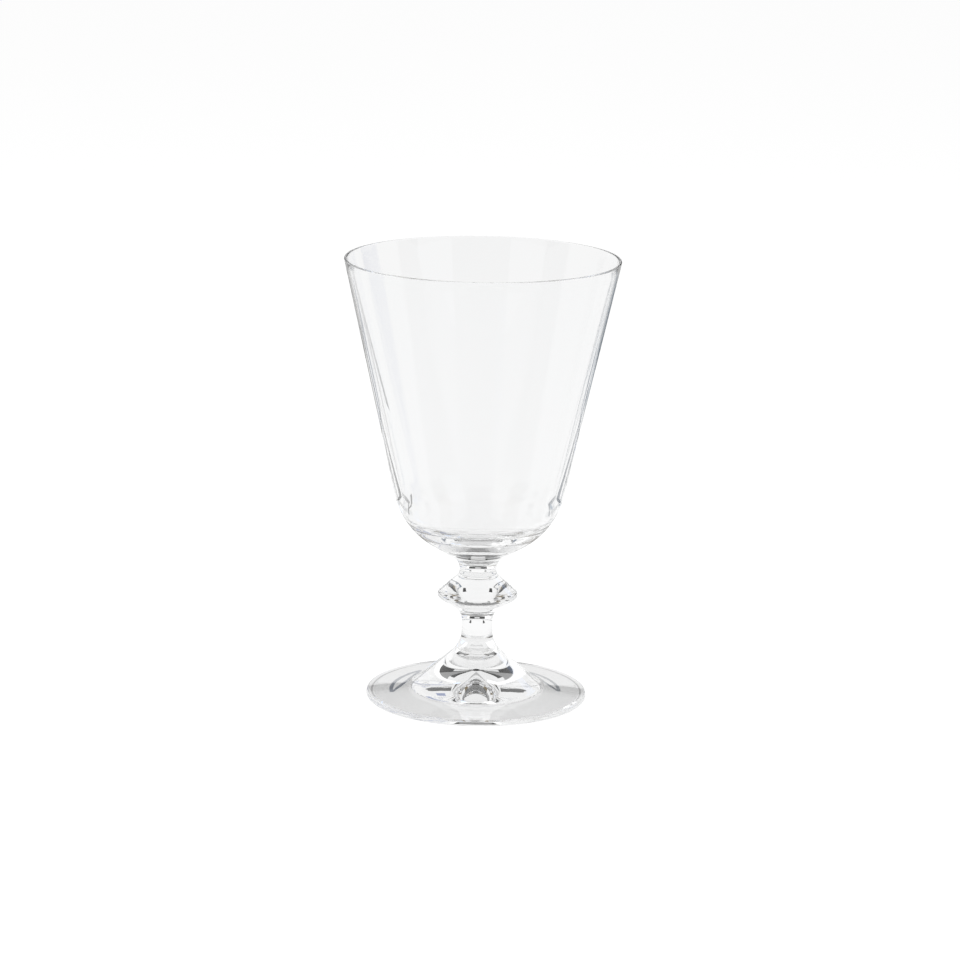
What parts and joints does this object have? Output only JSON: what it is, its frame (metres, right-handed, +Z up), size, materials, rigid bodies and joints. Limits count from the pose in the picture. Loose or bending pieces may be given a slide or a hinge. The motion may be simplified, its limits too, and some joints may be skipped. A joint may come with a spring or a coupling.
{
  "type": "water glass",
  "caption": "Clear stemmed water goblet: deep tapering bowl, short stem with a round-edged knop, and a wide round foot.",
  "frame": {"origin": "centre of the flat ring that the foot stands on", "axes": "+Z up along the glass's axis, from the foot to the lip; the glass is round, so +X and +Y are alike"},
  "size_m": [0.0918, 0.0918, 0.15],
  "materials": {
    "clear_glass": "fire-polished, clear and colourless"
  },
  "bodies": {
    "root": {"bowl": "clear_glass", "stem": "clear_glass", "foot": "clear_glass"}
  },
  "joints": []
}
